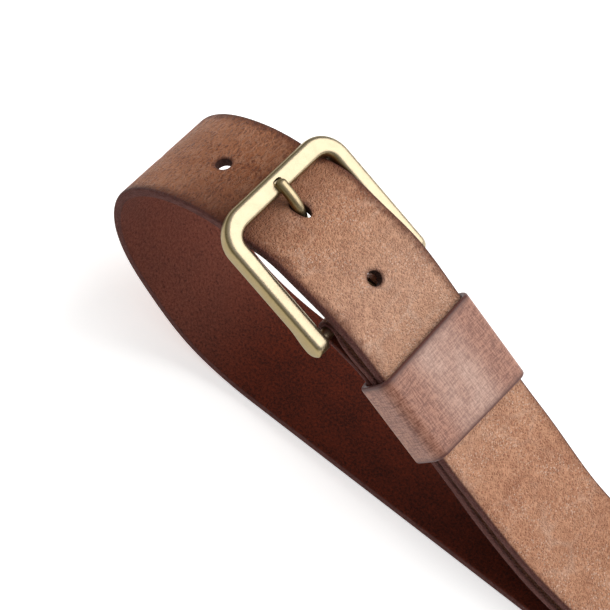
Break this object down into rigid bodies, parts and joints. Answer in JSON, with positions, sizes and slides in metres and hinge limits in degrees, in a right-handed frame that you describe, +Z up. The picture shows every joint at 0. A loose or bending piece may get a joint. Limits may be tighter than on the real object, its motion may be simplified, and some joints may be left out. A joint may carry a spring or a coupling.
{
  "type": "leather belt",
  "caption": "Buckled dress belt of one thick leather strap, with a hinged heel-bar buckle, a prong through a strap hole, and a sliding leather keeper.",
  "frame": {"origin": "on the surface the belt lies on, under the middle of the belt", "axes": "+X along the belt from the buckled end to the other bend, +Y across the strap, +Z up"},
  "size_m": [0.4202, 0.0486, 0.0814],
  "materials": {
    "strap_leather": "warm mid-brown pull-up grain, burnished edges, dark suede-like flesh side",
    "keeper_leather": "smooth brown leather with fine cross-hatched grain and a pale sheen",
    "buckle_brass": "satin antique brass, pale on the flat face and olive in the rounded edges",
    "prong_brass": "satin antique brass",
    "thread": "waxed brown twisted thread"
  },
  "bodies": {
    "strap": {"strap": "strap_leather", "fold_thread_front": "thread", "fold_thread_rear": "thread"},
    "buckle": {"buckle_frame": "buckle_brass"},
    "prong": {"prong": "prong_brass"},
    "keeper": {"keeper": "keeper_leather", "keeper_thread": "thread"}
  },
  "joints": [
    {"name": "buckle_hinge", "type": "hinge", "parent": "strap", "child": "buckle", "pos_m": [-0.1358, 0, 0.0602], "axis": [0, 1, 0], "range_deg": [0, 1.5]},
    {"name": "prong_hinge", "type": "hinge", "parent": "buckle", "child": "prong", "pos_m": [-0.1358, 0, 0.0602], "axis": [0, 1, 0], "range_deg": [0, 1.2]},
    {"name": "keeper_slide", "type": "slide", "parent": "strap", "child": "keeper", "axis": [0.8415, 0, -0.5402], "range_m": [-0.002, 0.012]}
  ]
}
